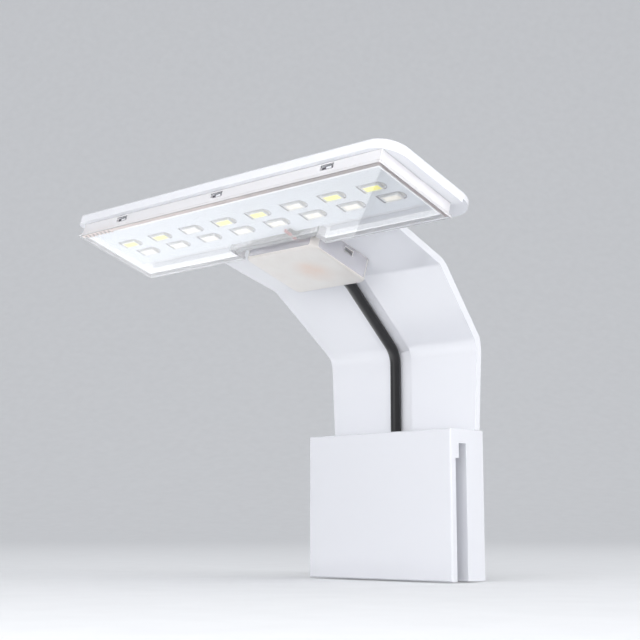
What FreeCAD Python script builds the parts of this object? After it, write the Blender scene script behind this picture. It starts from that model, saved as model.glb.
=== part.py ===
"""LED clip light for a small aquarium: clamp, bent arm with lamp plate, clear shade and cord.

Millimetres, +Z up.  The origin is the middle of the clamp slot's roof, where the tank's glass edge
sits.  X runs along the lamp plate, -Y points over the water and +Y out of the tank.
The head frame is turned about X by the plate's tilt: its origin is on the plate's lower face at the
middle of the shade, its y runs back towards the arm and its z is the plate's normal.
"""
import FreeCAD, Part
import math
import os
import Sketcher

Vector = FreeCAD.Vector
Rotation = FreeCAD.Rotation
Placement = FreeCAD.Placement

SIZES = {
    # clamp
    "clamp_width": 68.0, "clamp_drop": 48.0, "roof_rise": 5.0, "front_plate": 3.0,
    "slot_wide": 6.2, "slot_narrow": 4.3, "narrow_height": 5.3, "back_block": 10.6,
    "clamp_edge": 0.8, "lid_thick": 2.3, "lid_side": 2.5, "lid_drop": 45.0, "core_depth": 6.0,
    "core_side": 5.5, "core_rib": 4.0, "core_top": 24.0, "core_height": 18.0, "screw_in": 1.7,
    "screw_low": 41.0,
    "screw_high": 1.0, "screw_radius": 0.9, "screw_length": 6.0, "head_radius": 1.7,
    "head_height": 1.1,
    # arm and lamp plate
    "tilt": 17.8, "arm_slope": 42.4, "bend_height": 36.0, "slope_run": 36.8, "neck_run": 53.6,
    "arm_thick": 2.6, "slip": 0.1, "tongue_side": 6.0, "tongue_depth": 24.0,
    "bend_width": 71.0, "neck_width": 80.6, "root_width": 85.2, "inner_bend": 8.0,
    "crease_bend": 4.0, "groove_width": 9.8, "groove_depth": 1.5, "plate_length": 151.4,
    "front_margin": 0.75, "plate_rear": 27.0, "plate_corner": 9.0, "left_corner": 3.0,
    "land_depth": 1.3,
    "land_margin": 0.35, "edge_round": 1.2,
    # shade
    "shade_side": 3.0, "shade_depth": 35.9, "shade_height": 5.4, "shade_wall": 1.5,
    "shade_floor": 1.5, "notch_half": 19.7, "notch_front": 12.6, "rib_gap": 0.15,
    "rib_thick": 1.0, "rib_height": 2.0, "window_width": 5.5, "window_height": 1.6,
    "window_pitch": 50.0, "window_drop": 0.9, "catch_gap": 0.2, "lip_depth": 0.7,
    "lip_height": 1.2, "tooth_pitch": 2.2, "tooth_width": 0.9, "tooth_depth": 0.6,
    "tooth_height": 1.8, "tooth_in": 2.7,
    # light engine
    "board_side": 3.1, "board_front": 3.75, "board_gap": 2.0, "board_thick": 1.0,
    "tape_thick": 0.7, "mask_thick": 0.3, "led_pitch": 16.8, "row_spacing": 7.1,
    "row_stagger": 2.3, "led_length": 7.0, "led_width": 3.2, "led_height": 1.0,
    "gel_length": 6.2, "gel_width": 2.6, "gel_depth": 0.3, "window_long": 10.4,
    "window_broad": 4.6,
    # driver
    "cover_half": 17.0, "cover_front": 15.0, "cover_rear": 44.0, "cover_drop": 8.4,
    "cover_wall": 1.0, "cover_floor": 1.2, "cover_corner": 3.0, "pcb_half": 15.0,
    "pcb_front": 17.4, "pcb_rear": 35.4, "pcb_thick": 1.0, "pcb_stand": 1.0,
    "post_radius": 1.5, "post_in": 2.5, "post_back": 3.0, "lead_radius": 0.6, "lead_x": 10.0,
    "lead_gap": 2.0, "lead_inset": 2.4, "lead_room": 0.3, "terminal_half": 3.0,
    "terminal_front": 18.2, "terminal_rear": 22.4, "terminal_drop": 2.8, "snap_high": 1.4,
    "snap_low": 3.0, "snap_long": 4.0, "side_snap": 10.0, "rear_snap_x": 11.0,
    "bar_start": 1.0, "bar_width": 3.0, "bar_thick": 2.0, "bar_end": 2.0, "bar_screw": 2.3,
    "boss_wall": 0.4, "bar_head": 1.5,
    # cord
    "cord_diameter": 4.0, "cord_x": -2.4, "cord_start": 37.0, "exit_drop": 1.5,
    "exit_bend": 4.5, "neck_radius": 3.2, "flange_radius": 4.5, "inner_flange": 4.0,
    "flange_thick": 1.5, "boot_length": 12.8, "boot_tip": 2.5, "boot_root": 3.2,
    "coil_radius": 21.0, "bundle_radius": 6.2, "coil_gap": 0.3, "tie_width": 4.0,
    "tie_thick": 0.8, "plug_width": 22.0, "plug_thick": 15.0, "plug_length": 23.0,
    "plug_neck": 9.0, "plug_corner": 4.0, "plug_rim": 2.0, "plug_root": 4.5, "plug_tip": 3.0,
    "plug_sink": 0.5, "blade_width": 6.3, "blade_thick": 1.5, "blade_length": 17.0,
    "blade_spacing": 12.7,
}

# The driver's box-shaped components in head coordinates: x from, x to, y from, y to, drop.
DRIVER_BLOCKS = {
    "bridge_rectifier": (-13.0, -8.2, 29.0, 33.0, 2.4),
    "film_capacitor": (0.5, 7.5, 29.6, 33.4, 4.8),
    "driver_chip": (-12.8, -7.8, 18.6, 22.6, 1.6),
    "choke_core": (-3.8, 2.6, 19.2, 25.2, 4.4),
}
# Those that are rods along X: x from, y, radius, length.
DRIVER_RODS = {
    "electrolytic_capacitors": ((4.4, 26.4, 2.5, 9.0), (-13.2, 25.6, 2.1, 6.5)),
    "fuse_resistor": ((-5.6, 28.0, 1.1, 6.4),),
}
LEDS_IN_A_ROW = 8
WHITE_IN_FRONT = (2, 5)
SHADE_TEETH = 7
COIL_TURNS = 7

doc = FreeCAD.newDocument("aquarium_light")
sheet = doc.addObject("Spreadsheet::Sheet", "Sizes")
for row, (alias, value) in enumerate(SIZES.items(), start=1):
    sheet.set(f"A{row}", alias)
    sheet.set(f"B{row}", str(value))
    sheet.setAlias(f"B{row}", alias)
doc.recompute()

S = {alias: sheet.get(alias) for alias in SIZES}
NODES = []


def ref(text):
    """An expression in which each word that names a size is read from the sheet."""
    words = []
    word = ""
    for letter in text + " ":
        if letter.isalnum() or letter == "_":
            word += letter
        else:
            words.append(f"Sizes.{word}" if word in SIZES else word)
            words.append(letter)
            word = ""
    return "".join(words).strip()


def bind(item, **exprs):
    """Bind properties of an object to the sheet; two underscores stand for a dot."""
    for name, text in exprs.items():
        item.setExpression(name.replace("__", "."), ref(text))


def keep(item, label):
    """Name an object as one of the light's own pieces."""
    item.Label = label
    NODES.append(item)
    return item


# ---------------------------------------------------------------- derived places
FACE_Y = "(slot_narrow/2 + back_block - lid_thick - slip - arm_thick)"
BACK_Y = "(slot_narrow/2 + back_block)"
LID_Y = f"({BACK_Y} - lid_thick)"
NECK_Y = f"({FACE_Y} - slope_run*cos(arm_slope*1deg))"
NECK_Z = "(bend_height + slope_run*sin(arm_slope*1deg))"
HEAD_Y = f"({NECK_Y} - neck_run*cos(tilt*1deg))"
HEAD_Z = f"({NECK_Z} + neck_run*sin(tilt*1deg))"
SHOULDER_Z = "(roof_rise + slip)"
LID_HALF = "(clamp_width/2 - lid_side)"
TONGUE_HALF = "(clamp_width/2 - tongue_side)"
SCREW_X = "(clamp_width/2 - lid_side - screw_in)"
PLATE_FRONT = "(shade_depth/2 + front_margin)"
LAND_REAR = "(shade_depth/2 + land_margin)"
SHADE_HALF = "(plate_length/2 - shade_side)"
BOARD_HALF = "(plate_length/2 - shade_side - board_side)"
BOARD_REAR = "(notch_front - board_gap)"
BOARD_FACE = "(-land_depth - tape_thick - board_thick)"
SHADE_BASE = "(-land_depth - shade_height)"
PCB_FACE = "(-pcb_stand - pcb_thick)"
BAR_SEAT = "(groove_depth - cord_diameter)"
BAR_MIDDLE = "(cord_start + bar_start + bar_width/2)"
BAR_SCREW_X = "(groove_width/2 + bar_screw)"

tilt = math.radians(S["tilt"])
slope = math.radians(S["arm_slope"])
back_y = S["slot_narrow"] / 2 + S["back_block"]
face_y = back_y - S["lid_thick"] - S["slip"] - S["arm_thick"]
neck_y = face_y - S["slope_run"] * math.cos(slope)
neck_z = S["bend_height"] + S["slope_run"] * math.sin(slope)
head_y = neck_y - S["neck_run"] * math.cos(tilt)
head_z = neck_z + S["neck_run"] * math.sin(tilt)


def head_point(x, y, z):
    """The place in the part's frame of a point of the head frame."""
    return Vector(x, head_y + y * math.cos(tilt) + z * math.sin(tilt),
                  head_z - y * math.sin(tilt) + z * math.cos(tilt))


def head_pair(y, z):
    """The same as a pair of expressions, for a sketch in the YZ plane."""
    return (f"{HEAD_Y} + ({y})*cos(tilt*1deg) + ({z})*sin(tilt*1deg)",
            f"{HEAD_Z} - ({y})*sin(tilt*1deg) + ({z})*cos(tilt*1deg)")


def in_head(item):
    """Seat an object that is drawn in head coordinates."""
    item.Placement = Placement(Vector(0, head_y, head_z), Rotation(Vector(-1, 0, 0), S["tilt"]))
    bind(item, Placement__Base__y=HEAD_Y, Placement__Base__z=HEAD_Z,
         Placement__Rotation__Angle="tilt*1deg")
    return item


# ---------------------------------------------------------------- shape helpers
def block(name, x, y, z):
    """A box from three (low, high) pairs of expressions."""
    item = doc.addObject("Part::Box", name)
    bind(item, Length=f"({x[1]}) - ({x[0]})", Width=f"({y[1]}) - ({y[0]})",
         Height=f"({z[1]}) - ({z[0]})", Placement__Base__x=x[0], Placement__Base__y=y[0],
         Placement__Base__z=z[0])
    return item


def rod(name, radius, length, x, y, z, along="Z"):
    """A cylinder that starts at a point and runs along +X, +Y or +Z."""
    item = doc.addObject("Part::Cylinder", name)
    turns = {"X": Rotation(Vector(0, 1, 0), 90), "Y": Rotation(Vector(1, 0, 0), -90),
             "Z": Rotation()}
    item.Placement = Placement(Vector(), turns[along])
    bind(item, Radius=radius, Height=length, Placement__Base__x=x, Placement__Base__y=y,
         Placement__Base__z=z)
    return item


def joined(name, items, kind="Part::MultiFuse"):
    """Several objects fused, or held as separate solids in a compound."""
    item = doc.addObject(kind, name)
    if kind == "Part::Compound":
        item.Links = items
    else:
        item.Shapes = items
    return item


def less(name, base, tools):
    """An object with tools cut out of it."""
    item = doc.addObject("Part::Cut", name)
    item.Base = base
    item.Tool = tools[0] if len(tools) == 1 else joined(f"{name}_tools", tools)
    return item


def plane(body, role):
    """One of a body's own origin planes."""
    return [part for part in body.Origin.OriginFeatures if part.Role == role][0]


def outline(body, role, name, corners):
    """A closed sketch of straight lines whose corners are pairs of expressions."""
    drawing = body.newObject("Sketcher::SketchObject", name)
    drawing.AttachmentSupport = [(plane(body, role), "")]
    drawing.MapMode = "FlatFace"
    count = len(corners)
    ring = [2 * math.pi * index / count for index in range(count)]
    loose = [Vector(300 + 90 * math.cos(turn), 300 + 90 * math.sin(turn), 0) for turn in ring]
    for index in range(count):
        drawing.addGeometry(Part.LineSegment(loose[index], loose[(index + 1) % count]), False)
    for index in range(count):
        drawing.addConstraint(Sketcher.Constraint("Coincident", index, 2, (index + 1) % count, 1))
    for index, (across, up) in enumerate(corners):
        for kind, text, value in (("DistanceX", across, loose[index].x),
                                  ("DistanceY", up, loose[index].y)):
            number = drawing.addConstraint(Sketcher.Constraint(kind, -1, 1, index, 1, value))
            drawing.setExpression(f"Constraints[{number}]", ref(text))
    return drawing


def padded(body, name, drawing, length):
    """A pad that grows evenly to both sides of its sketch."""
    item = body.newObject("PartDesign::Pad", name)
    item.Profile = drawing
    item.SideType = "Symmetric"
    bind(item, Length=length)
    return item


def pocketed(body, name, drawing, length):
    """A pocket that cuts evenly to both sides of its sketch, and must remove something."""
    doc.recompute()
    before = body.Shape.Volume
    item = body.newObject("PartDesign::Pocket", name)
    item.Profile = drawing
    item.SideType = "Symmetric"
    bind(item, Length=length)
    doc.recompute()
    if not body.Shape.Volume < before - 0.01:
        raise ValueError(f"{name} removes nothing")
    return item


def rounded(body, name, edges, radius):
    """A fillet on the tip's edges for which edges(edge) is true."""
    doc.recompute()
    base = body.Tip
    found = [f"Edge{number}" for number, edge in enumerate(base.Shape.Edges, start=1) if edges(edge)]
    item = body.newObject("PartDesign::Fillet", name)
    item.Base = (base, found)
    bind(item, Radius=radius)
    doc.recompute()
    return item


def runs_along(edge, axis, tolerance=1e-4):
    """True for a straight edge that is parallel to an axis."""
    if edge.Curve.TypeId != "Part::GeomLine":
        return False
    return edge.tangentAt(edge.FirstParameter).cross(axis).Length < tolerance


def solid_of(label, shape):
    """A piece whose shape is made with Part's own functions."""
    item = doc.addObject("Part::Feature", label)
    item.Shape = shape
    return keep(item, label)


# ---------------------------------------------------------------- clamp
def make_clamp():
    """The hanging clamp: a stepped glass slot in front and a hollow block with the arm's socket."""
    body = doc.addObject("PartDesign::Body", "clamp_section")
    near = "slot_narrow/2 - slot_wide"
    section = outline(body, "YZ_Plane", "clamp_outline", [
        (f"{near} - front_plate", "roof_rise"), (BACK_Y, "roof_rise"), (BACK_Y, "-clamp_drop"),
        ("slot_narrow/2", "-clamp_drop"), ("slot_narrow/2", "0"), ("-slot_narrow/2", "0"),
        ("-slot_narrow/2", "-narrow_height"), (near, "-narrow_height"), (near, "-clamp_drop"),
        (f"{near} - front_plate", "-clamp_drop")])
    padded(body, "clamp_pad", section, "clamp_width")
    front = S["slot_narrow"] / 2 - S["slot_wide"] - S["front_plate"]

    def outer(edge):
        middle = edge.CenterOfMass
        on_front = abs(middle.y - front) < 0.01
        on_back = abs(middle.y - back_y) < 0.01
        return on_front or on_back and abs(middle.x) > 1

    rounded(body, "clamp_rounding", outer, "clamp_edge")
    tools = [
        block("lid_seat", (f"-{LID_HALF} - slip", f"{LID_HALF} + slip"),
              (LID_Y, f"{BACK_Y} + 1"), ("-lid_drop - slip", "roof_rise + 1")),
        block("socket", (f"-{TONGUE_HALF} - slip", f"{TONGUE_HALF} + slip"),
              (f"{FACE_Y} - slip", f"{LID_Y} + 1"),
              ("roof_rise - tongue_depth - slip", "roof_rise + 1")),
        block("cord_channel", ("cord_x - cord_diameter/2 - 2*slip", "cord_x + cord_diameter/2 + 2*slip"),
              (f"{FACE_Y} + groove_depth - cord_diameter - 2*slip", FACE_Y),
              ("-exit_drop - inner_flange - slip", "roof_rise + 1")),
    ]
    for side in (-1, 1):
        wide = f"({LID_HALF} - core_side - core_rib/2)"
        middle = f"{side}*({wide} + core_rib)/2"
        tools.append(block("core", (f"{middle} - {wide}/2", f"{middle} + {wide}/2"),
                           (f"{LID_Y} - core_depth", f"{LID_Y} + 1"),
                           ("-core_top - core_height", "-core_top")))
    tools += screw_holes("clamp_hole", "screw_radius")
    keep(less("clamp_body", body, tools), "clamp_body")

    lid = block("lid_blank", (f"-{LID_HALF}", LID_HALF), (LID_Y, BACK_Y),
                ("-lid_drop", "roof_rise"))
    neck = "(neck_radius + slip)"
    cuts = [rod("lid_neck", neck, "lid_thick + 2", "cord_x", f"{LID_Y} - 1", "-exit_drop", "Y"),
            block("lid_mouth", (f"cord_x - {neck}", f"cord_x + {neck}"),
                  (f"{LID_Y} - 1", f"{BACK_Y} + 1"), ("-exit_drop", "roof_rise + 1"))]
    cuts += screw_holes("lid_hole", "screw_radius + slip")
    cuts += screw_seats()
    keep(less("clamp_lid", lid, cuts), "clamp_lid")

    screws = []
    for x, z in screw_places():
        shank = rod("shank", "screw_radius", "screw_length", x,
                    f"{BACK_Y} - head_height - screw_length", z, "Y")
        head = rod("screw_head", "head_radius", "head_height", x, f"{BACK_Y} - head_height", z, "Y")
        screws.append(joined("lid_screw", [shank, head]))
    keep(joined("clamp_screws", screws, "Part::Compound"), "clamp_screws")


def screw_places():
    """Middles of the lid's four screws, as pairs of expressions."""
    return [(f"{side}*{SCREW_X}", height) for side in (-1, 1)
            for height in ("-screw_low", "screw_high")]


def screw_holes(name, radius):
    """Holes for the lid's screws, from the block's depth out through the lid."""
    return [rod(name, radius, "head_height + screw_length + 1", x,
                f"{BACK_Y} - head_height - screw_length", z, "Y") for x, z in screw_places()]


def screw_seats():
    """Sunk seats for the screw heads."""
    return [rod("lid_sink", "head_radius + slip", "head_height + 1", x,
                f"{BACK_Y} - head_height", z, "Y") for x, z in screw_places()]


# ---------------------------------------------------------------- arm and lamp plate
def make_arm():
    """One bent moulding: lamp plate, neck, sloping and upright arm, and the tongue in the clamp."""
    body = doc.addObject("PartDesign::Body", "arm_blank")
    first = "((arm_slope - tilt)/2*1deg)"
    second = "((90 - arm_slope)/2*1deg)"
    side = outline(body, "YZ_Plane", "arm_side", [
        head_pair(f"-{PLATE_FRONT}", "-land_depth"), head_pair(f"-{PLATE_FRONT}", "arm_thick"),
        head_pair(f"neck_run + arm_thick*tan({first})", "arm_thick"),
        (f"{FACE_Y} + arm_thick", f"bend_height + arm_thick*tan({second})"),
        (f"{FACE_Y} + arm_thick", "roof_rise - tongue_depth"),
        (FACE_Y, "roof_rise - tongue_depth"), (FACE_Y, "bend_height"), (NECK_Y, NECK_Z),
        head_pair(LAND_REAR, "0"), head_pair(LAND_REAR, "-land_depth")])
    padded(body, "arm_pad", side, "plate_length")

    bend_out = face_y + S["arm_thick"]
    across = Vector(1, 0, 0)

    def at_bend_two(edge):
        middle = edge.CenterOfMass
        upright = min(abs(middle.y - face_y), abs(middle.y - bend_out)) < 0.01
        return runs_along(edge, across) and upright and middle.z > S["roof_rise"] + 1

    def at_bend_one(edge):
        middle = edge.CenterOfMass
        near = math.hypot(middle.y - neck_y, middle.z - neck_z) < S["arm_thick"] * 1.2
        return runs_along(edge, across) and near

    rounded(body, "bend_two", at_bend_two, "inner_bend")
    rounded(body, "bend_one", at_bend_one, "crease_bend")

    wide = "plate_length"
    for hand in (-1, 1):
        upright = outline(body, "XZ_Plane", f"arm_flank_{'left' if hand < 0 else 'right'}", [
            (f"{hand}*{TONGUE_HALF}", "roof_rise - tongue_depth - 1"),
            (f"{hand}*{TONGUE_HALF}", SHOULDER_Z), (f"{hand}*clamp_width/2", SHOULDER_Z),
            (f"{hand}*bend_width/2", "bend_height"), (f"{hand}*neck_width/2", NECK_Z),
            (f"{hand}*{wide}", NECK_Z), (f"{hand}*{wide}", "roof_rise - tongue_depth - 1")])
        pocketed(body, f"arm_trim_{'left' if hand < 0 else 'right'}", upright, "plate_length*2")
        neck = outline(body, "XY_Plane", f"neck_flank_{'left' if hand < 0 else 'right'}", [
            (f"{hand}*root_width/2", "plate_rear"), (f"{hand}*neck_width/2", "neck_run"),
            (f"{hand}*neck_width/2", "neck_run + 4*arm_thick"),
            (f"{hand}*{wide}", "neck_run + 4*arm_thick"), (f"{hand}*{wide}", "plate_rear")])
        neck.AttachmentOffset = Placement(Vector(0, head_y, head_z),
                                          Rotation(Vector(-1, 0, 0), S["tilt"]))
        bind(neck, AttachmentOffset__Base__y=HEAD_Y, AttachmentOffset__Base__z=HEAD_Z,
             AttachmentOffset__Rotation__Angle="tilt*1deg")
        pocketed(body, f"neck_trim_{'left' if hand < 0 else 'right'}", neck, "plate_length*2")

    normal = Vector(0, math.sin(tilt), math.cos(tilt))
    half = S["plate_length"] / 2

    def at_end(hand):
        """Finds the plate's two upright corner edges at one end."""
        def is_corner(edge):
            full = abs(edge.Length - S["arm_thick"]) < 0.01 or edge.Length > S["arm_thick"] + 0.5
            return (runs_along(edge, normal, 1e-3) and full
                    and abs(edge.CenterOfMass.x - hand * half) < 0.01)
        return is_corner

    rounded(body, "plate_corners_right", at_end(1), "plate_corner")
    rounded(body, "plate_corners_left", at_end(-1), "left_corner")

    groove = outline(body, "YZ_Plane", "groove_side", [
        head_pair("cord_start - 1", "-1"), head_pair("cord_start - 1", "groove_depth"),
        head_pair(f"neck_run + groove_depth*tan({first})", "groove_depth"),
        (f"{FACE_Y} + groove_depth", f"bend_height + groove_depth*tan({second})"),
        (f"{FACE_Y} + groove_depth", "-exit_drop"), (f"{FACE_Y} - 1", "-exit_drop"),
        (f"{FACE_Y} - 1", f"bend_height - 1*tan({second})"),
        head_pair(f"neck_run - 1*tan({first})", "-1")])
    pocketed(body, "cord_groove", groove, "groove_width")
    doc.recompute()

    top = S["arm_thick"]

    def outer_rim(edge):
        """Edges round the lamp plate's upper face, and not those of the neck."""
        middle = edge.CenterOfMass
        local_y = (middle.y - head_y) * math.cos(tilt) - (middle.z - head_z) * math.sin(tilt)
        local_z = (middle.y - head_y) * math.sin(tilt) + (middle.z - head_z) * math.cos(tilt)
        return abs(local_z - top) < 0.02 and local_y < S["plate_rear"] + 0.01

    rounded(body, "outer_rounding", outer_rim, "edge_round")
    return body


def head_cut_tools():
    """What is taken out of the arm moulding in head coordinates: the driver's pocket."""
    pocket = block("driver_pocket", ("-notch_half", "notch_half"), ("notch_front", f"{LAND_REAR} + 1"),
                   ("-land_depth - 1", "0"))
    return in_head(joined("head_cuts", [pocket], "Part::Compound"))


def head_add_tools():
    """Ribs with catches for the shade, posts for the driver board and bosses for the cord bar."""
    inner_y = "(shade_depth/2 - lip_depth - shade_wall - rib_gap)"
    under = "(-land_depth)"
    low = f"({under} - rib_height)"
    end = f"({SHADE_HALF} - lip_depth - shade_wall - 2)"
    items = [block("front_rib", (f"-{end}", end), (f"-{inner_y}", f"-{inner_y} + rib_thick"),
                   (low, under))]
    for near, far in ((f"-{end}", "-notch_half - 4"), ("notch_half + 4", end)):
        items.append(block("rear_rib", (near, far), (f"{inner_y} - rib_thick", inner_y),
                           (low, under)))
    for step in (-1, 0, 1):
        items.append(block("catch", (f"{step}*window_pitch - window_width/2 + catch_gap",
                                     f"{step}*window_pitch + window_width/2 - catch_gap"),
                           (f"-{inner_y} - shade_wall/2", f"-{inner_y}"),
                           (f"{under} - window_drop - window_height + catch_gap",
                            f"{under} - window_drop - catch_gap")))
    for side in (-1, 1):
        items.append(rod("pcb_post", "post_radius", "pcb_stand", f"{side}*(pcb_half - post_in)",
                         "pcb_rear - post_back", "-pcb_stand"))
        items.append(rod("bar_boss", "post_radius + boss_wall", "cord_diameter - groove_depth",
                         f"{side}*{BAR_SCREW_X}", BAR_MIDDLE, BAR_SEAT))
    return in_head(joined("head_adds", items))


def make_arm_shell():
    """The arm moulding with its pocket, ribs, catches, posts and the cord's way out."""
    arm = make_arm()
    way_out = block("way_out", ("cord_x - inner_flange - 2*slip", "cord_x + inner_flange + 2*slip"),
                    (f"{FACE_Y} - 1", f"{LID_Y} + 1"),
                    ("-exit_drop - inner_flange - 2*slip", "roof_rise - 4*slip"))
    carved = less("arm_carved", arm, [head_cut_tools(), way_out])
    keep(joined("arm_shell", [carved, head_add_tools()]), "arm_shell")


# ---------------------------------------------------------------- clear shade
def make_shade():
    """The clear tray under the lamp plate, with a bay for the driver and three catch windows."""
    top = "(-land_depth)"
    x = f"({SHADE_HALF} - lip_depth)"
    y = "(shade_depth/2 - lip_depth)"
    walls = block("shade_walls", (f"-{x}", x), (f"-{y}", y), (SHADE_BASE, top))
    lip = block("shade_lip", (f"-{SHADE_HALF}", SHADE_HALF),
                ("-shade_depth/2", "shade_depth/2"), (SHADE_BASE, f"{SHADE_BASE} + lip_height"))
    bay = block("shade_bay", ("-notch_half", "notch_half"), ("notch_front", "shade_depth/2 + 1"),
                (f"{SHADE_BASE} - 1", f"{top} + 1"))
    shell = less("shade_shell", joined("shade_outer", [walls, lip]), [bay])
    inner = block("shade_inner", (f"-{x} + shade_wall", f"{x} - shade_wall"),
                  (f"-{y} + shade_wall", f"{y} - shade_wall"),
                  (f"{SHADE_BASE} + shade_floor", f"{top} + 1"))
    bay_wall = block("bay_wall", ("-notch_half - shade_wall", "notch_half + shade_wall"),
                     ("notch_front - shade_wall", "shade_depth/2 + 1"),
                     (f"{SHADE_BASE} - 1", f"{top} + 2"))
    hollow = less("shade_hollow", inner, [bay_wall])
    windows = [block("catch_window", (f"{step}*window_pitch - window_width/2",
                                      f"{step}*window_pitch + window_width/2"),
                     (f"-{y} - 1", f"-{y} + shade_wall + slip"),
                     (f"{top} - window_drop - window_height", f"{top} - window_drop"))
               for step in (-1, 0, 1)]
    tray = less("shade_tray", shell, [hollow] + windows + [lead_slot("shade_lead_slot")])
    teeth = [block("tooth", (f"tooth_in - {SHADE_HALF} + {step}*tooth_pitch",
                             f"tooth_in - {SHADE_HALF} + {step}*tooth_pitch + tooth_width"),
                   (f"-{y} + shade_wall", f"-{y} + shade_wall + tooth_depth"),
                   (f"{SHADE_BASE} + shade_floor", f"{SHADE_BASE} + shade_floor + tooth_height"))
             for step in range(SHADE_TEETH)]
    keep(in_head(joined("shade", [tray] + teeth)), "clear_shade")


def lead_slot(name):
    """The way for the two leads through the shade's bay wall and the driver cover."""
    half = "(lead_gap/2 + lead_radius + lead_room)"
    return block(name, (f"lead_x - {half}", f"lead_x + {half}"),
                 ("notch_front - shade_wall - 1", "cover_front + cover_wall + 1"),
                 (f"{BOARD_FACE} - mask_thick - 2*lead_radius - lead_room",
                  f"{BOARD_FACE} - mask_thick + lead_room"))


# ---------------------------------------------------------------- light engine
def led_places():
    """Middles of the sixteen LEDs: two staggered rows of eight."""
    places = []
    for row in (-1, 1):
        for step in range(LEDS_IN_A_ROW):
            places.append((f"{row}*row_stagger/2 + ({step - (LEDS_IN_A_ROW - 1) / 2})*led_pitch",
                           f"{row}*row_spacing/2", row, step))
    return places


def make_light_engine():
    """Adhesive pad, aluminium board, window mask, LED frames and their phosphor gels."""
    x = (f"-{BOARD_HALF}", BOARD_HALF)
    y = ("board_front - shade_depth/2", BOARD_REAR)
    under = "(-land_depth)"
    pad = block("pad", x, y, (f"{under} - tape_thick", under))
    keep(in_head(joined("pad_group", [pad], "Part::Compound")), "thermal_pad")
    board = block("board", x, y, (BOARD_FACE, f"{BOARD_FACE} + board_thick"))
    keep(in_head(joined("board_group", [board], "Part::Compound")), "led_board")

    mask_low = f"{BOARD_FACE} - mask_thick"
    sheet_blank = block("mask_blank", x, y, (mask_low, BOARD_FACE))
    holes = []
    frames = []
    gels = {"yellow": [], "white": []}
    for px, py, row, step in led_places():
        straight = "window_long - window_broad/2"
        left = f"{px} - window_long/2"
        holes.append(block("window_box", (left, f"{left} + {straight}"),
                           (f"{py} - window_broad/2", f"{py} + window_broad/2"),
                           (f"{mask_low} - 1", f"{BOARD_FACE} + 1")))
        holes.append(rod("window_end", "window_broad/2", "mask_thick + 2", f"{left} + {straight}",
                         py, f"{mask_low} - 1"))
        frame = block("led_block", (f"{px} - led_length/2", f"{px} + led_length/2"),
                      (f"{py} - led_width/2", f"{py} + led_width/2"),
                      (f"{BOARD_FACE} - led_height", BOARD_FACE))
        room = gel_block("gel_room", px, py)
        frames.append(less("led_frame", frame, [room]))
        colour = "yellow" if row < 0 and step not in WHITE_IN_FRONT else "white"
        gels[colour].append(gel_block("gel", px, py))
    keep(in_head(less("mask", sheet_blank, holes)), "window_mask")
    keep(in_head(joined("frames", frames, "Part::Compound")), "led_frames")
    for colour, items in gels.items():
        keep(in_head(joined(f"gels_{colour}", items, "Part::Compound")), f"{colour}_phosphors")


def gel_block(name, px, py):
    """The phosphor gel that fills an LED frame's mouth."""
    low = f"({BOARD_FACE} - led_height)"
    return block(name, (f"{px} - gel_length/2", f"{px} + gel_length/2"),
                 (f"{py} - gel_width/2", f"{py} + gel_width/2"), (low, f"{low} + gel_depth"))


# ---------------------------------------------------------------- driver
def make_driver_cover():
    """The snap-on cover of the driver, open towards the arm."""
    body = doc.addObject("PartDesign::Body", "cover_box")
    corners = [("-cover_half", "cover_front"), ("cover_half", "cover_front"),
               ("cover_half", "cover_rear"), ("-cover_half", "cover_rear")]
    face = outline(body, "XY_Plane", "cover_outline", corners)
    pad = body.newObject("PartDesign::Pad", "cover_pad")
    pad.Profile = face
    pad.Reversed = True
    bind(pad, Length="cover_drop")

    def upright(edge):
        return runs_along(edge, Vector(0, 0, 1))

    rounded(body, "cover_corners", upright, "cover_corner")

    def bottom(edge):
        return abs(edge.CenterOfMass.z + S["cover_drop"]) < 0.01

    rounded(body, "cover_edges", bottom, "cover_wall")
    wall = "cover_wall"
    hollow = block("cover_room", (f"-cover_half + {wall}", f"cover_half - {wall}"),
                   (f"cover_front + {wall}", f"cover_rear - {wall}"),
                   ("-cover_drop + cover_floor", "1"))
    cord_gap = "(cord_diameter/2 + 2*slip)"
    tools = [hollow, lead_slot("cover_lead_slot"),
             block("cord_notch", (f"cord_x - {cord_gap}", f"cord_x + {cord_gap}"),
                   ("cover_rear - 2", "cover_rear + 1"),
                   ("groove_depth - cord_diameter - 2*slip", "1"))]
    for side in (-1, 1):
        tools.append(block("side_window", (f"{side}*(cover_half - {wall}/2) - {wall}",
                                           f"{side}*(cover_half - {wall}/2) + {wall}"),
                           ("cover_rear - side_snap - snap_long", "cover_rear - side_snap"),
                           ("-snap_low", "-snap_high")))
    tools.append(block("rear_window", ("-rear_snap_x - snap_long/2", "-rear_snap_x + snap_long/2"),
                       ("cover_rear - 2*cover_wall", "cover_rear + 1"),
                       ("-snap_low", "-snap_high")))
    keep(in_head(less("cover", body, tools)), "driver_cover")


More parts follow.
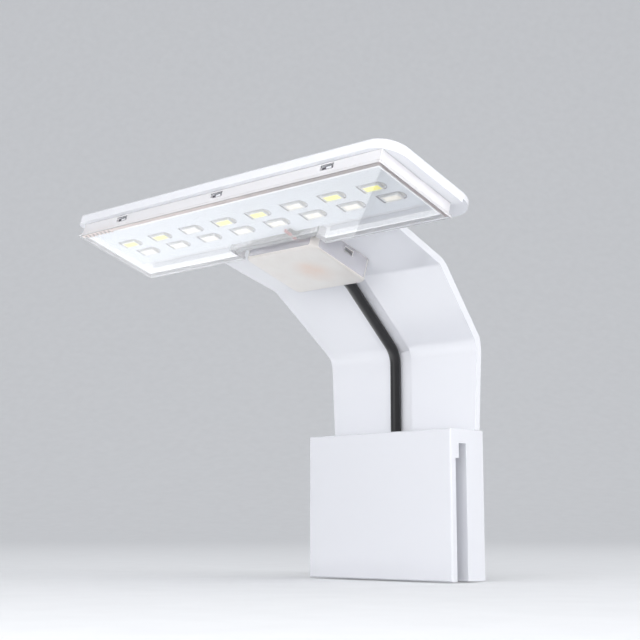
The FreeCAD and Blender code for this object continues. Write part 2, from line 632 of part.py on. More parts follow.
def make_driver():
    """The driver board and what stands on its lower face, and the bar that holds the cord."""
    board = block("pcb", ("-pcb_half", "pcb_half"), ("pcb_front", "pcb_rear"),
                  (PCB_FACE, "-pcb_stand"))
    keep(in_head(joined("pcb_group", [board], "Part::Compound")), "driver_board")
    for label, (x_from, x_to, y_from, y_to, drop) in DRIVER_BLOCKS.items():
        item = block(label + "_box", (f"{x_from}", f"{x_to}"), (f"{y_from}", f"{y_to}"),
                     (f"{PCB_FACE} - {drop}", PCB_FACE))
        keep(in_head(joined(label + "_group", [item], "Part::Compound")), label)
    for label, places in DRIVER_RODS.items():
        items = [rod(label + "_rod", f"{radius}", f"{length}", f"{x_from}", f"{y}",
                     f"{PCB_FACE} - {radius}", "X") for x_from, y, radius, length in places]
        keep(in_head(joined(label + "_group", items, "Part::Compound")), label)
    terminal = block("terminal", ("lead_x - terminal_half", "lead_x + terminal_half"),
                     ("terminal_front", "terminal_rear"), (f"{PCB_FACE} - terminal_drop", PCB_FACE))
    keep(in_head(joined("terminal_group", [terminal], "Part::Compound")), "lead_terminal")

    for name, side in (("red_lead", -1), ("black_lead", 1)):
        wire = rod(name + "_wire", "lead_radius", f"terminal_front - {BOARD_REAR} + lead_inset",
                   f"lead_x + {side}*lead_gap/2", f"{BOARD_REAR} - lead_inset",
                   f"{BOARD_FACE} - mask_thick - lead_radius", "Y")
        keep(in_head(joined(name + "_group", [wire], "Part::Compound")), name)

    under = f"{BAR_SEAT} - bar_thick"
    bar = block("bar", (f"-{BAR_SCREW_X} - bar_end", f"{BAR_SCREW_X} + bar_end"),
                ("cord_start + bar_start", "cord_start + bar_start + bar_width"), (under, BAR_SEAT))
    holes = []
    screws = []
    for side in (-1, 1):
        x = f"{side}*{BAR_SCREW_X}"
        holes.append(rod("bar_hole", "screw_radius", "bar_thick + 2", x, BAR_MIDDLE, f"{under} - 1"))
        shank = rod("bar_shank", "screw_radius", "bar_thick", x, BAR_MIDDLE, under)
        head = rod("bar_head", "bar_head", "head_height", x, BAR_MIDDLE, f"{under} - head_height")
        screws.append(joined("bar_screw", [shank, head]))
    keep(in_head(less("bar_cut", bar, holes)), "cord_bar")
    keep(in_head(joined("bar_screw_group", screws, "Part::Compound")), "bar_screws")


# ---------------------------------------------------------------- cord
def tube(label, points, radii=None):
    """A round tube through points: straight runs joined by tangent arcs."""
    run = [(b - a).Length for a, b in zip(points, points[1:])]
    edges = []
    last = points[0]
    printed = []
    for index in range(1, len(points) - 1):
        before = (points[index] - points[index - 1]).normalize()
        after = (points[index + 1] - points[index]).normalize()
        half = before.getAngle(after) / 2
        radius = 0.45 * min(run[index - 1], run[index]) / math.tan(half)
        if radii:
            radius = radii[index - 1]
        back = radius * math.tan(half)
        enter = points[index] - before * back
        leave = points[index] + after * back
        inward = (after - before).normalize()
        middle = points[index] + inward * (radius / math.cos(half) - radius)
        edges.append(Part.LineSegment(last, enter).toShape())
        edges.append(Part.Arc(enter, middle, leave).toShape())
        last = leave
        printed.append(round(radius, 1))
    edges.append(Part.LineSegment(last, points[-1]).toShape())
    path = Part.Wire(edges)
    start = (points[1] - points[0]).normalize()
    ring = Part.Wire(Part.makeCircle(S["cord_diameter"] / 2, points[0], start))
    shape = path.makePipeShell([ring], True, True)
    expected = math.pi * S["cord_diameter"] ** 2 / 4 * path.Length
    if abs(shape.Volume / expected - 1) > 0.005:
        raise ValueError(f"{label} has a volume of {shape.Volume:.1f}, not {expected:.1f}")
    print(f"{label}: length {path.Length:.1f}, radii {printed}, runs {[round(r, 1) for r in run]}")
    solid_of(label, shape)
    return path.Length


def make_cord():
    """The cord from the driver down the groove, through the clamp's back, and its coil and plug."""
    x = S["cord_x"]
    depth = S["cord_diameter"] / 2 - S["groove_depth"]
    exit_z = -S["exit_drop"]
    first = (slope - tilt) / 2
    second = (math.pi / 2 - slope) / 2
    tip_y = back_y + S["slip"] + S["flange_thick"] + S["boot_length"]
    held = [head_point(x, S["cord_start"], -depth),
            head_point(x, S["neck_run"] - depth * math.tan(first), -depth),
            Vector(x, face_y - depth, S["bend_height"] - depth * math.tan(second)),
            Vector(x, face_y - depth, exit_z),
            Vector(x, tip_y, exit_z)]
    cord = tube("arm_cord", held, [14.0, S["inner_bend"] + 2, S["exit_bend"]])

    bore = doc.getObject("arm_cord")
    neck_from = face_y + S["arm_thick"] - 1.0
    flange_y = back_y + S["slip"]
    profile = [(0, neck_from), (S["inner_flange"], neck_from),
               (S["inner_flange"], face_y + S["arm_thick"]),
               (S["neck_radius"], face_y + S["arm_thick"]), (S["neck_radius"], flange_y),
               (S["flange_radius"], flange_y), (S["flange_radius"], flange_y + S["flange_thick"]),
               (S["boot_root"], flange_y + S["flange_thick"]), (S["boot_tip"], tip_y), (0, tip_y)]
    corners = [Vector(x + r, y, exit_z) for r, y in profile]
    face = Part.Face(Part.makePolygon(corners + corners[:1]))
    boot = face.revolve(Vector(x, 0, exit_z), Vector(0, 1, 0), 360)
    solid_of("cord_boot", boot.cut(bore.Shape))

    ring = S["coil_radius"]
    bundle = S["bundle_radius"]
    seat = S["boot_root"]
    centre = Vector(x, flange_y + S["flange_thick"] + S["coil_gap"] + bundle,
                    exit_z + seat + S["coil_gap"] - (ring - bundle))
    coil = Part.makeTorus(ring, bundle, centre, Vector(0, 1, 0))
    solid_of("cord_coil", coil)

    tie_at = centre + Vector(ring, 0, -S["tie_width"] / 2)
    outer = Part.makeCylinder(bundle + S["tie_thick"], S["tie_width"], tie_at)
    inner = Part.makeCylinder(bundle - 0.1, S["tie_width"], tie_at)
    solid_of("coil_tie", outer.cut(inner).cut(coil))

    tail = [Vector(x, tip_y, exit_z), Vector(x, 38, exit_z), Vector(-10, 46, -4),
            Vector(-22, 46, -7), Vector(-29, 40, -18), Vector(-25, 33, -30), Vector(-13, 28, -38),
            Vector(3, 23, -36)]
    cord += tube("cord_tail", tail)
    lead = [centre + Vector(0, 0, ring), Vector(-19.5, 22.6, 13), Vector(-35.5, 28.7, 22),
            Vector(-49.5, 34.6, 22.5), Vector(-57.5, 37.5, 13.5), Vector(-58, 38, 3)]
    cord += tube("plug_cord", lead)
    cord += COIL_TURNS * 2 * math.pi * ring
    print(f"cord in all: {cord:.0f} mm with {COIL_TURNS} turns in the coil")
    make_plug(lead[-1])


def make_plug(top):
    """A two-blade plug that hangs from the end of the cord."""
    half_x = S["plug_width"] / 2
    half_y = S["plug_thick"] / 2
    shoulder = top.z - S["plug_neck"]
    body = Part.makeBox(2 * half_x, 2 * half_y, S["plug_length"],
                        Vector(top.x - half_x, top.y - half_y, shoulder - S["plug_length"]))
    upright = [edge for edge in body.Edges if runs_along(edge, Vector(0, 0, 1))]
    body = body.makeFillet(S["plug_corner"], upright)
    rims = [edge for edge in body.Edges if abs(edge.CenterOfMass.z - shoulder) < 0.01]
    body = body.makeFillet(S["plug_rim"], rims)
    neck = Part.makeCone(S["plug_root"], S["plug_tip"], S["plug_neck"] + S["plug_sink"],
                         Vector(top.x, top.y, shoulder - S["plug_sink"]))
    solid_of("plug_body", body.fuse(neck).removeSplitter())
    blades = []
    for side in (-1, 1):
        place = Vector(top.x + side * S["blade_spacing"] / 2 - S["blade_thick"] / 2,
                       top.y - S["blade_width"] / 2,
                       shoulder - S["plug_length"] - S["blade_length"])
        blades.append(Part.makeBox(S["blade_thick"], S["blade_width"], S["blade_length"], place))
    solid_of("plug_blades", Part.makeCompound(blades))


def write_parts():
    """Check every object, then write each piece as parts/NAME.step."""
    doc.recompute()
    for item in doc.Objects:
        if "Invalid" in item.State or "Error" in item.State:
            raise ValueError(f"{item.Name} ({item.Label}) is {item.State}")
    os.makedirs("parts", exist_ok=True)
    for item in NODES:
        shape = item.Shape
        if shape.isNull() or not shape.isValid():
            raise ValueError(f"{item.Label} has a bad shape")
        shape.exportStep(f"parts/{item.Label}.step")
        box = shape.BoundBox
        print(f"{item.Label}: {len(shape.Solids)} solids, {shape.Volume:.1f} mm3, "
              f"x {box.XMin:.1f}..{box.XMax:.1f} y {box.YMin:.1f}..{box.YMax:.1f} "
              f"z {box.ZMin:.1f}..{box.ZMax:.1f}")


make_clamp()
make_arm_shell()
make_shade()
make_light_engine()
make_driver_cover()
make_driver()
make_cord()
write_parts()
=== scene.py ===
"""LED clip light for a small aquarium: finishes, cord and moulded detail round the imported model.

Metres, +Z up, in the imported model's frame.  Sizes are written in millimetres and turned to metres
by MM, and METRE / size is the scale of a texture whose features are that many millimetres wide.
The head frame is turned about X by the lamp plate's tilt: its z is the plate's normal, and z = 0
is the plate's underside.
"""

import math

import bpy
from mathutils import Matrix, Vector


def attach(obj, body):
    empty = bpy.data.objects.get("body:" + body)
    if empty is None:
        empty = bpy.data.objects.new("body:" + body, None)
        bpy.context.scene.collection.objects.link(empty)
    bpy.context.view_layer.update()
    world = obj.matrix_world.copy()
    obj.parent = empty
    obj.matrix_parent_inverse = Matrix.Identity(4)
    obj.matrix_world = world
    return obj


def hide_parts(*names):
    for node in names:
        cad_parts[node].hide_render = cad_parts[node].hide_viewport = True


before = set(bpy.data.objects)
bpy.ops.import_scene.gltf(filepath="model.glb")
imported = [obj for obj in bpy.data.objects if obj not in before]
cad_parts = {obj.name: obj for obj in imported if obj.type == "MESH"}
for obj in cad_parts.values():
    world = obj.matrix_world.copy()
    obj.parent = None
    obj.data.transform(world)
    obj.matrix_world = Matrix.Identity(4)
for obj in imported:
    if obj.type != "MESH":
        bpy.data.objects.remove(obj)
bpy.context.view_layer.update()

MM = 0.001
METRE = 1000.0
LAMP = "lamp"
CLAMP = "clamp"
TILT = math.radians(17.8)
HEAD = Matrix.Translation(Vector((0, -70.459, 77.199)) * MM) @ Matrix.Rotation(-TILT, 4, "X")

# Light engine, in head mm: eight LEDs in each of two rows that are staggered.
BOARD_FACE = -3.0
LED_STEPS = 8
LED_PITCH = 16.8
LED_ROW = 3.55
LED_STAGGER = 1.15
TRAY_HALF = (3.5, 1.6)
TRAY_DEEP = 1.0
GEL_SIZE = (6.2, 2.5)
GEL_DROP = 0.74
GEL_DOME = 0.2
WINDOW_SIZE = (10.4, 4.6)
WINDOW_ROUND = 2.29
PAD_REACH = 4.1

# Shade, in head mm: where its walls, their ends and the catch windows are.
WALL_OUT_X = 72.0
WALL_OUT_Y = 17.2
WALL_IN_X = 71.0
WALL_IN_Y = 15.95
BAND_Z = (-5.55, -5.5)
STRIP_Z = (-5.1, -1.3)
CATCH_X = (-50, 0, 50)
TOOTH_PITCH = 2.2
TOOTH_WIDE = 0.95

# Cord in mm, its coil's axis, and the plug's neck.
CORD_DIAMETER = 4.0
COIL_MIDDLE = (-2.4, 20.85, -12.8)
COIL_RADIUS = 21.0
TURN_SPACING = 4.12
CORD_EXIT_X = -2.4
CORD_EXIT_Z = -1.5
PLUG_AT = (-58.0, 38.0, 3.0)
PLUG_NECK = 9.0
PLUG_LONG = 23.0

# Where the driver cover gets a painted orange glow, as if the capacitor shone through it, in head
# mm.
GLOW = (3.0, 30.5, -9.0)
GLOW_NEAR = 1.0
GLOW_FAR = 10.0

# Stage in metres: the floor's height, and the camera's place and aim in mm.
FLOOR_Z = -0.0485
FLOOR_TURN = math.radians(43.1)
EYE = Vector((311.8, -370.5, -28.8)) * MM
AIM = Vector((-28.3, -7.05, 50.0)) * MM


# ---------------------------------------------------------------- colour and nodes
def linear(code):
    """An sRGB hex colour as linear RGBA."""
    parts = [int(code[i:i + 2], 16) / 255 for i in (1, 3, 5)]
    return [c / 12.92 if c <= 0.04045 else ((c + 0.055) / 1.055) ** 2.4 for c in parts] + [1.0]


def node(tree, kind, settings=None, **links):
    """Adds a node.  Each link names an input and gives a value or another node's output."""
    made = tree.nodes.new(kind)
    for name, value in (settings or {}).items():
        setattr(made, name, value)
    for name, value in links.items():
        key = int(name[1:]) if name[0] == "_" and name[1:].isdigit() else name.replace("_", " ")
        socket = made.inputs[key]
        if isinstance(value, bpy.types.NodeSocket):
            tree.links.new(value, socket)
        else:
            socket.default_value = value
    return made


def blank(name):
    """A new material with an output and nothing else."""
    made = bpy.data.materials.new(name)
    made.use_nodes = True
    made.node_tree.nodes.clear()
    return made, made.node_tree


def close(tree, shader):
    """Links a shader to the material's output."""
    out = tree.nodes.new("ShaderNodeOutputMaterial")
    tree.links.new(shader, out.inputs["Surface"])


def ramp(tree, source, stops):
    """A colour ramp with (place, hex colour) stops."""
    made = node(tree, "ShaderNodeValToRGB", None, Fac=source)
    while len(made.color_ramp.elements) < len(stops):
        made.color_ramp.elements.new(0.5)
    for element, (place, code) in zip(made.color_ramp.elements, stops):
        element.position = place
        element.color = linear(code)
    return made.outputs["Color"]


def moulded(name, low, high, rough, spread, grain, dent, patch=14.0, coat=0.0, ior=1.5):
    """A moulded or painted surface: two near colours in patches, and a fine grain.  Both in mm."""
    made, tree = blank(name)
    place = node(tree, "ShaderNodeTexCoord").outputs["Object"]
    cloud = node(tree, "ShaderNodeTexNoise", None, Vector=place, Scale=METRE / patch, Detail=3.0)
    fine = node(tree, "ShaderNodeTexNoise", None, Vector=place, Scale=METRE / grain, Detail=2.0)
    shade = ramp(tree, cloud.outputs["Fac"], [(0.0, low), (1.0, high)])
    gloss = node(tree, "ShaderNodeMapRange", None, Value=cloud.outputs["Fac"],
                 To_Min=rough - spread, To_Max=rough + spread)
    bump = node(tree, "ShaderNodeBump", None, Height=fine.outputs["Fac"], Strength=1.0,
                Distance=dent * MM)
    shader = node(tree, "ShaderNodeBsdfPrincipled", None, Base_Color=shade,
                  Roughness=gloss.outputs["Result"], IOR=ior, Coat_Weight=coat,
                  Normal=bump.outputs["Normal"])
    close(tree, shader.outputs["BSDF"])
    return made


def metal(name, low, high, rough, spread, across, dent, stretch=(0.08, 1.0, 1.0)):
    """A bare metal with fine lines one way; across is the spacing of the lines in mm."""
    made, tree = blank(name)
    place = node(tree, "ShaderNodeTexCoord").outputs["Object"]
    drawn = node(tree, "ShaderNodeMapping", None, Vector=place, Scale=stretch)
    lines = node(tree, "ShaderNodeTexNoise", None, Vector=drawn.outputs["Vector"],
                 Scale=METRE / across, Detail=4.0)
    shade = ramp(tree, lines.outputs["Fac"], [(0.3, low), (0.7, high)])
    gloss = node(tree, "ShaderNodeMapRange", None, Value=lines.outputs["Fac"], From_Min=0.3,
                 From_Max=0.7, To_Min=rough - spread, To_Max=rough + spread)
    bump = node(tree, "ShaderNodeBump", None, Height=lines.outputs["Fac"], Strength=1.0,
                Distance=dent * MM)
    shader = node(tree, "ShaderNodeBsdfPrincipled", None, Base_Color=shade, Metallic=1.0,
                  Roughness=gloss.outputs["Result"], Normal=bump.outputs["Normal"])
    close(tree, shader.outputs["BSDF"])
    return made


def clear(name, tint, rough, ripple, dent, pass_tint, through):
    """A clear moulded plastic that lets lamps through; ripple is its waviness in mm, and what
    doesn't go through is a white haze."""
    made, tree = blank(name)
    place = node(tree, "ShaderNodeTexCoord").outputs["Object"]
    waves = node(tree, "ShaderNodeTexNoise", None, Vector=place, Scale=METRE / ripple, Detail=2.0)
    smear = node(tree, "ShaderNodeMapRange", None, Value=waves.outputs["Fac"], From_Min=0.3,
                 From_Max=0.7, To_Min=rough, To_Max=rough + 0.03)
    bump = node(tree, "ShaderNodeBump", None, Height=waves.outputs["Fac"], Strength=1.0,
                Distance=dent * MM)
    glass = node(tree, "ShaderNodeBsdfPrincipled", None, Base_Color=linear(tint), IOR=1.49,
                 Roughness=smear.outputs["Result"], Transmission_Weight=through,
                 Normal=bump.outputs["Normal"])
    open_way = node(tree, "ShaderNodeBsdfTransparent", None, Color=linear(pass_tint))
    lamp_ray = node(tree, "ShaderNodeLightPath").outputs["Is Shadow Ray"]
    mixed = node(tree, "ShaderNodeMixShader", None, _0=lamp_ray, _1=glass.outputs["BSDF"],
                 _2=open_way.outputs["BSDF"])
    close(tree, mixed.outputs["Shader"])
    return made


# Injection-moulded ABS: glossy, faintly cool white, with the soft ripple that a mould leaves.
white_abs = moulded("abs_gloss_white", "#ebecf1", "#eeeff3", 0.2, 0.015, 1.4, 0.004, 24.0)
# The same ABS where the clamp is: a shade greyer and a little less glossy.
clamp_abs = moulded("abs_gloss_clamp", "#e6e7ec", "#e8e9ee", 0.27, 0.01, 1.2, 0.005, 40.0)
# Polished moulded acrylic: clear, with a very faint white haze.
acrylic = clear("acrylic_polished", "#fbfcfd", 0.0, 30.0, 0.0015, "#fdfdfe", 0.9)
# The same acrylic on the upright walls, which leave the mould less polished and carry light; their
# white haze is partly that satin finish and partly painted light, for the bright look of lit walls.
acrylic_wall = clear("acrylic_wall_satin_painted_light", "#fefdff", 0.04, 12.0, 0.006, "#fdfdfe", 0.38)
# Thin moulded polycarbonate of the driver cover's walls: hazy and softly wavy.
cover_clear = clear("polycarbonate_clear", "#f5f4f9", 0.1, 9.0, 0.02, "#f9f8fb", 0.55)
# Painted shade: a dark grey, textured finish for a plate in each catch's pocket, standing in for
# the shade where little light gets in.
pocket_painted_shade = moulded("abs_pocket_shadow", "#4d4a50", "#66636a", 0.5, 0.08, 0.8, 0.02, 3.0)
# Foam adhesive tape behind the board: open-celled, soft and matt.
tape = moulded("foam_tape", "#d6d9dd", "#e2e4e7", 0.8, 0.08, 0.6, 0.05, 5.0)
# White solder mask screened on aluminium: cool and half gloss.
board_white = moulded("solder_mask_white", "#e2e7ed", "#e9edf2", 0.35, 0.06, 0.9, 0.01, 12.0)
# Printed cover sheet over the board: pale blue-grey and nearly matt.
mask_sheet = moulded("printed_sheet_pale", "#e0e5ec", "#e7ebf1", 0.42, 0.06, 0.7, 0.008, 16.0)
# Punched edge of the sheet, a thin grey line round each window: partly the cut edge's own grey,
# partly painted shade along the step.
rim_line = moulded("sheet_cut_edge_shade", "#7d7882", "#8e8a90", 0.6, 0.1, 0.5, 0.01, 2.0)
# Moulded reflector plastic of the LED packages: a bright, warm white.
led_white = moulded("led_reflector_white", "#efeeea", "#f7f6f2", 0.3, 0.05, 0.5, 0.006, 3.0)
# Tinned solder beside each LED: dull silver.
solder = metal("tinned_solder", "#b9b6b0", "#dcd9d2", 0.32, 0.08, 0.4, 0.02, (1.0, 1.0, 1.0))
# White solder mask on the driver's glass-fibre board, half gloss.
driver_mask = moulded("fibre_board_white_mask", "#cfd2cf", "#dcdedb", 0.35, 0.08, 0.5, 0.01, 4.0)
# Transfer-moulded epoxy of the chips: black and slightly rough.
epoxy = moulded("epoxy_black", "#1a1a1c", "#252528", 0.55, 0.08, 0.3, 0.02, 3.0)
# Dipped epoxy of the film capacitor: orange, glossy, with a slow ripple.
film = moulded("dipped_film_orange", "#b9491f", "#cf6534", 0.3, 0.06, 0.8, 0.03, 3.0)
# Sintered ferrite: dark and grainy.
ferrite = moulded("ferrite_dark", "#2b2a2c", "#3b3a3d", 0.65, 0.1, 0.4, 0.04, 2.0)
# Natural nylon mouldings: ivory and waxy.
nylon = moulded("nylon_natural", "#dedbd0", "#e9e6dc", 0.45, 0.08, 0.6, 0.015, 5.0)
# Baked lacquer of the fuse resistor: dusty pink.
resistor = moulded("resistor_pink", "#c98877", "#dba08e", 0.4, 0.08, 0.3, 0.02, 2.0)
# Shrunk sleeve of the capacitor cans: violet-grey and smooth.
sleeve = moulded("can_sleeve_violet", "#4b4a63", "#5d5c78", 0.3, 0.06, 0.5, 0.01, 3.0)
# Extruded red lead: half gloss.
red_pvc = moulded("pvc_red", "#a51613", "#bd2a20", 0.35, 0.06, 0.5, 0.01, 3.0)
# Extruded black PVC: half gloss, with the faint lengthwise ripple of the die.
black_pvc = moulded("pvc_black", "#161617", "#222224", 0.3, 0.07, 0.9, 0.015, 7.0)
# Soft moulded PVC of the strain relief: duller than the cord.
boot_rubber = moulded("pvc_boot_black", "#19191a", "#272728", 0.5, 0.08, 0.5, 0.02, 5.0)
# Moulded PVC of the plug, with a fine spark texture.
plug_black = moulded("pvc_plug_black", "#151516", "#212123", 0.38, 0.08, 0.7, 0.02, 8.0)
# Woven hook-and-loop tie: fuzzy and matt.
tie_black = moulded("hook_tie_black", "#1b1b1c", "#2d2d2f", 0.85, 0.08, 0.35, 0.12, 3.0)
# Zinc-plated steel screws: cool and bright.
zinc = metal("zinc_plated_steel", "#a7a8ac", "#cccdd1", 0.3, 0.08, 0.5, 0.01)
# Nickel-plated brass blades, drawn lengthwise: warm and bright.
nickel = metal("nickel_plated_brass", "#b9b3a4", "#d8d2c4", 0.24, 0.06, 0.4, 0.006, (1, 1, 0.08))


def phosphor(name, edge, heart, light):
    """Phosphor cast in clear gel: grainy, glossy, and with a painted glow that makes it as bright
    as a gel under light looks.
    """
    made, tree = blank(name)
    place = node(tree, "ShaderNodeTexCoord").outputs["Object"]
    grains = node(tree, "ShaderNodeTexNoise", None, Vector=place, Scale=METRE / 1.6, Detail=4.0)
    shade = ramp(tree, grains.outputs["Fac"], [(0.35, edge), (0.62, heart)])
    speck = node(tree, "ShaderNodeTexNoise", None, Vector=place, Scale=METRE / 0.25, Detail=1.0)
    bump = node(tree, "ShaderNodeBump", None, Height=speck.outputs["Fac"], Strength=1.0,
                Distance=0.01 * MM)
    gloss = node(tree, "ShaderNodeMapRange", None, Value=grains.outputs["Fac"], To_Min=0.15,
                 To_Max=0.35)
    shader = node(tree, "ShaderNodeBsdfPrincipled", None, Base_Color=shade,
                  Roughness=gloss.outputs["Result"], Emission_Color=linear(heart),
                  Emission_Strength=light, Normal=bump.outputs["Normal"])
    close(tree, shader.outputs["BSDF"])
    return made


# Yellow and pale phosphor gels of the LEDs, each with a painted glow.
yellow_gel = phosphor("phosphor_yellow", "#f2ea4c", "#f9f26a", 0.42)
pale_gel = phosphor("phosphor_pale", "#f2e8d4", "#faf4e6", 0.25)
# White reflector film with a painted glow: it emits a little light, standing in for the light that
# the acrylic gathers.
reflector_film_glow = phosphor("reflector_film_glow", "#f3f4f6", "#fafafb", 0.22)


def frosted():
    """Milky polycarbonate of the driver cover, with a painted orange glow where the capacitor shows
    through it.
    """
    made, tree = blank("polycarbonate_milky")
    place = node(tree, "ShaderNodeTexCoord").outputs["Object"]
    cloud = node(tree, "ShaderNodeTexNoise", None, Vector=place, Scale=METRE / 6.0, Detail=3.0)
    fine = node(tree, "ShaderNodeTexNoise", None, Vector=place, Scale=METRE / 0.7, Detail=2.0)
    milk = ramp(tree, cloud.outputs["Fac"], [(0.3, "#f3eee9"), (0.7, "#f8f5f1")])
    # Painted glow: near the capacitor's place the milk turns orange.
    spot = node(tree, "ShaderNodeVectorMath", {"operation": "DISTANCE"}, _0=place,
                _1=HEAD @ (Vector(GLOW) * MM))
    near = node(tree, "ShaderNodeMapRange", {"interpolation_type": "SMOOTHSTEP"},
                Value=spot.outputs["Value"], From_Min=GLOW_NEAR * MM,
                From_Max=GLOW_FAR * MM, To_Min=1.0, To_Max=0.0)
    amount = node(tree, "ShaderNodeMath", {"operation": "MULTIPLY"}, _0=near.outputs["Result"],
                  _1=cloud.outputs["Fac"])
    tone = node(tree, "ShaderNodeMix", {"data_type": "RGBA"}, _0=amount.outputs["Value"], _6=milk,
                _7=linear("#f3d3bf"))
    shade = tone.outputs[2]
    bump = node(tree, "ShaderNodeBump", None, Height=fine.outputs["Fac"], Strength=1.0,
                Distance=0.01 * MM)
    gloss = node(tree, "ShaderNodeMapRange", None, Value=cloud.outputs["Fac"], To_Min=0.3,
                 To_Max=0.42)
    shader = node(tree, "ShaderNodeBsdfPrincipled", None, Base_Color=shade, IOR=1.58,
                  Roughness=gloss.outputs["Result"], Transmission_Weight=0.35, Coat_Weight=0.3,
                  Coat_Roughness=0.12, Normal=bump.outputs["Normal"])
    close(tree, shader.outputs["BSDF"])
    return made


cover_milky = frosted()

FINISHES = {
    "clamp_body": clamp_abs, "clamp_lid": clamp_abs, "clamp_screws": zinc, "arm_shell": white_abs,
    "clear_shade": acrylic, "driver_cover": cover_clear, "thermal_pad": tape,
    "led_board": board_white, "window_mask": mask_sheet, "led_frames": led_white,
    "yellow_phosphors": yellow_gel, "white_phosphors": pale_gel, "driver_board": driver_mask,
    "bridge_rectifier": epoxy, "film_capacitor": film, "driver_chip": epoxy,
    "choke_core": ferrite, "lead_terminal": nylon, "electrolytic_capacitors": sleeve,
    "fuse_resistor": resistor, "red_lead": red_pvc, "black_lead": black_pvc, "cord_bar": nylon,
    "bar_screws": zinc, "arm_cord": black_pvc, "cord_boot": boot_rubber, "cord_coil": black_pvc,
    "coil_tie": tie_black, "cord_tail": black_pvc, "plug_cord": black_pvc,
    "plug_body": plug_black, "plug_blades": nickel,
}
for label, finish in FINISHES.items():
    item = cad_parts[label]
    item.data.materials.clear()
    item.data.materials.append(finish)


# ---------------------------------------------------------------- shaping helpers
def nothing():
    """Object mode, with nothing selected."""
    if bpy.context.object and bpy.context.object.mode != "OBJECT":
        bpy.ops.object.mode_set(mode="OBJECT")
    bpy.ops.object.select_all(action="DESELECT")


def only(item):
    """Selects one object and makes it active."""
    nothing()
    item.select_set(True)
    bpy.context.view_layer.objects.active = item


def modified(item, kind, **settings):
    """Adds a modifier and applies it."""
    only(item)
    made = item.modifiers.new(kind.lower(), kind)
    for name, value in settings.items():
        setattr(made, name, value)
    bpy.ops.object.modifier_apply(modifier=made.name)


def smooth(item, angle=35):
    """Smooth shading that keeps real edges crisp."""
    only(item)
    bpy.ops.object.shade_smooth_by_angle(angle=math.radians(angle))


def settle(item, matrix=None):
    """Puts the object's place into its mesh, then the mesh into the part's frame."""
    only(item)
    bpy.ops.object.transform_apply(location=True, rotation=True, scale=True)
    if matrix:
        item.data.transform(matrix)
        item.data.update()
    return item


def primitive(name, kind, **settings):
    """A named primitive that is alone in the selection."""
    nothing()
    getattr(bpy.ops.mesh, f"primitive_{kind}_add")(**settings)
    item = bpy.context.object
    item.name = name
    return item


def picked(item, test, what="FACE"):
    """Edit mode with the faces, edges or points selected for which test is true."""
    only(item)
    bpy.ops.object.mode_set(mode="EDIT")
    bpy.ops.mesh.select_mode(type=what)
    bpy.ops.mesh.select_all(action="DESELECT")
    bpy.ops.object.mode_set(mode="OBJECT")
    mesh = item.data
    parts = {"FACE": mesh.polygons, "EDGE": mesh.edges, "VERT": mesh.vertices}[what]
    for part in parts:
        part.select = bool(test(part))
    bpy.ops.object.mode_set(mode="EDIT")


def block(name, low, high, round_by=0.0, steps=3):
    """A rounded block between two corners in mm, in the frame it is drawn in."""
    size = [(b - a) * MM for a, b in zip(low, high)]
    middle = [(a + b) / 2 * MM for a, b in zip(low, high)]
    item = primitive(name, "cube", size=1.0, location=middle)
    item.scale = size
    settle(item)
    if round_by:
        modified(item, "BEVEL", width=round_by * MM, segments=steps, limit_method="ANGLE")
        smooth(item)
    return item


def copies(item, places):
    """Copies of a piece, each with its own mesh, moved by (x, y, z) in mm and joined to it."""
    made = []
    for shift in places:
        twin = item.copy()
        twin.data = item.data.copy()
        twin.data.transform(Matrix.Translation(Vector(shift) * MM))
        bpy.context.scene.collection.objects.link(twin)
        made.append(twin)
    name = item.name
    bpy.data.objects.remove(item)
    nothing()
    for twin in made:
        twin.select_set(True)
    bpy.context.view_layer.objects.active = made[0]
    bpy.ops.object.join()
    made[0].name = name
    return made[0]


def dressed(item, finish, body=LAMP, stands_for=()):
    """Gives a piece its finish and its body, and hides the nodes that it stands for."""
    if finish:
        item.data.materials.clear()
        item.data.materials.append(finish)
    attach(item, body)
    if stands_for:
        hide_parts(*stands_for)
    return item


def softened(label, name, width, steps=3, angle=30):
    """A node's shape with its sharp edges broken, as a mould leaves them."""
    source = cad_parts[label]
    item = bpy.data.objects.new(name, source.data.copy())
    bpy.context.scene.collection.objects.link(item)
    only(item)
    if item.data.has_custom_normals:
        bpy.ops.mesh.customdata_custom_splitnormals_clear()
    bpy.ops.object.mode_set(mode="EDIT")
    bpy.ops.mesh.select_all(action="SELECT")
    bpy.ops.mesh.remove_doubles(threshold=0.002 * MM)
    bpy.ops.mesh.dissolve_limited(angle_limit=math.radians(1.0))
    bpy.ops.object.mode_set(mode="OBJECT")
    modified(item, "BEVEL", width=width * MM, segments=steps, limit_method="ANGLE",
             angle_limit=math.radians(angle), use_clamp_overlap=True, harden_normals=False)
    smooth(item, 40)
    modified(item, "WEIGHTED_NORMAL", mode="FACE_AREA", weight=100, keep_sharp=True)
    return item


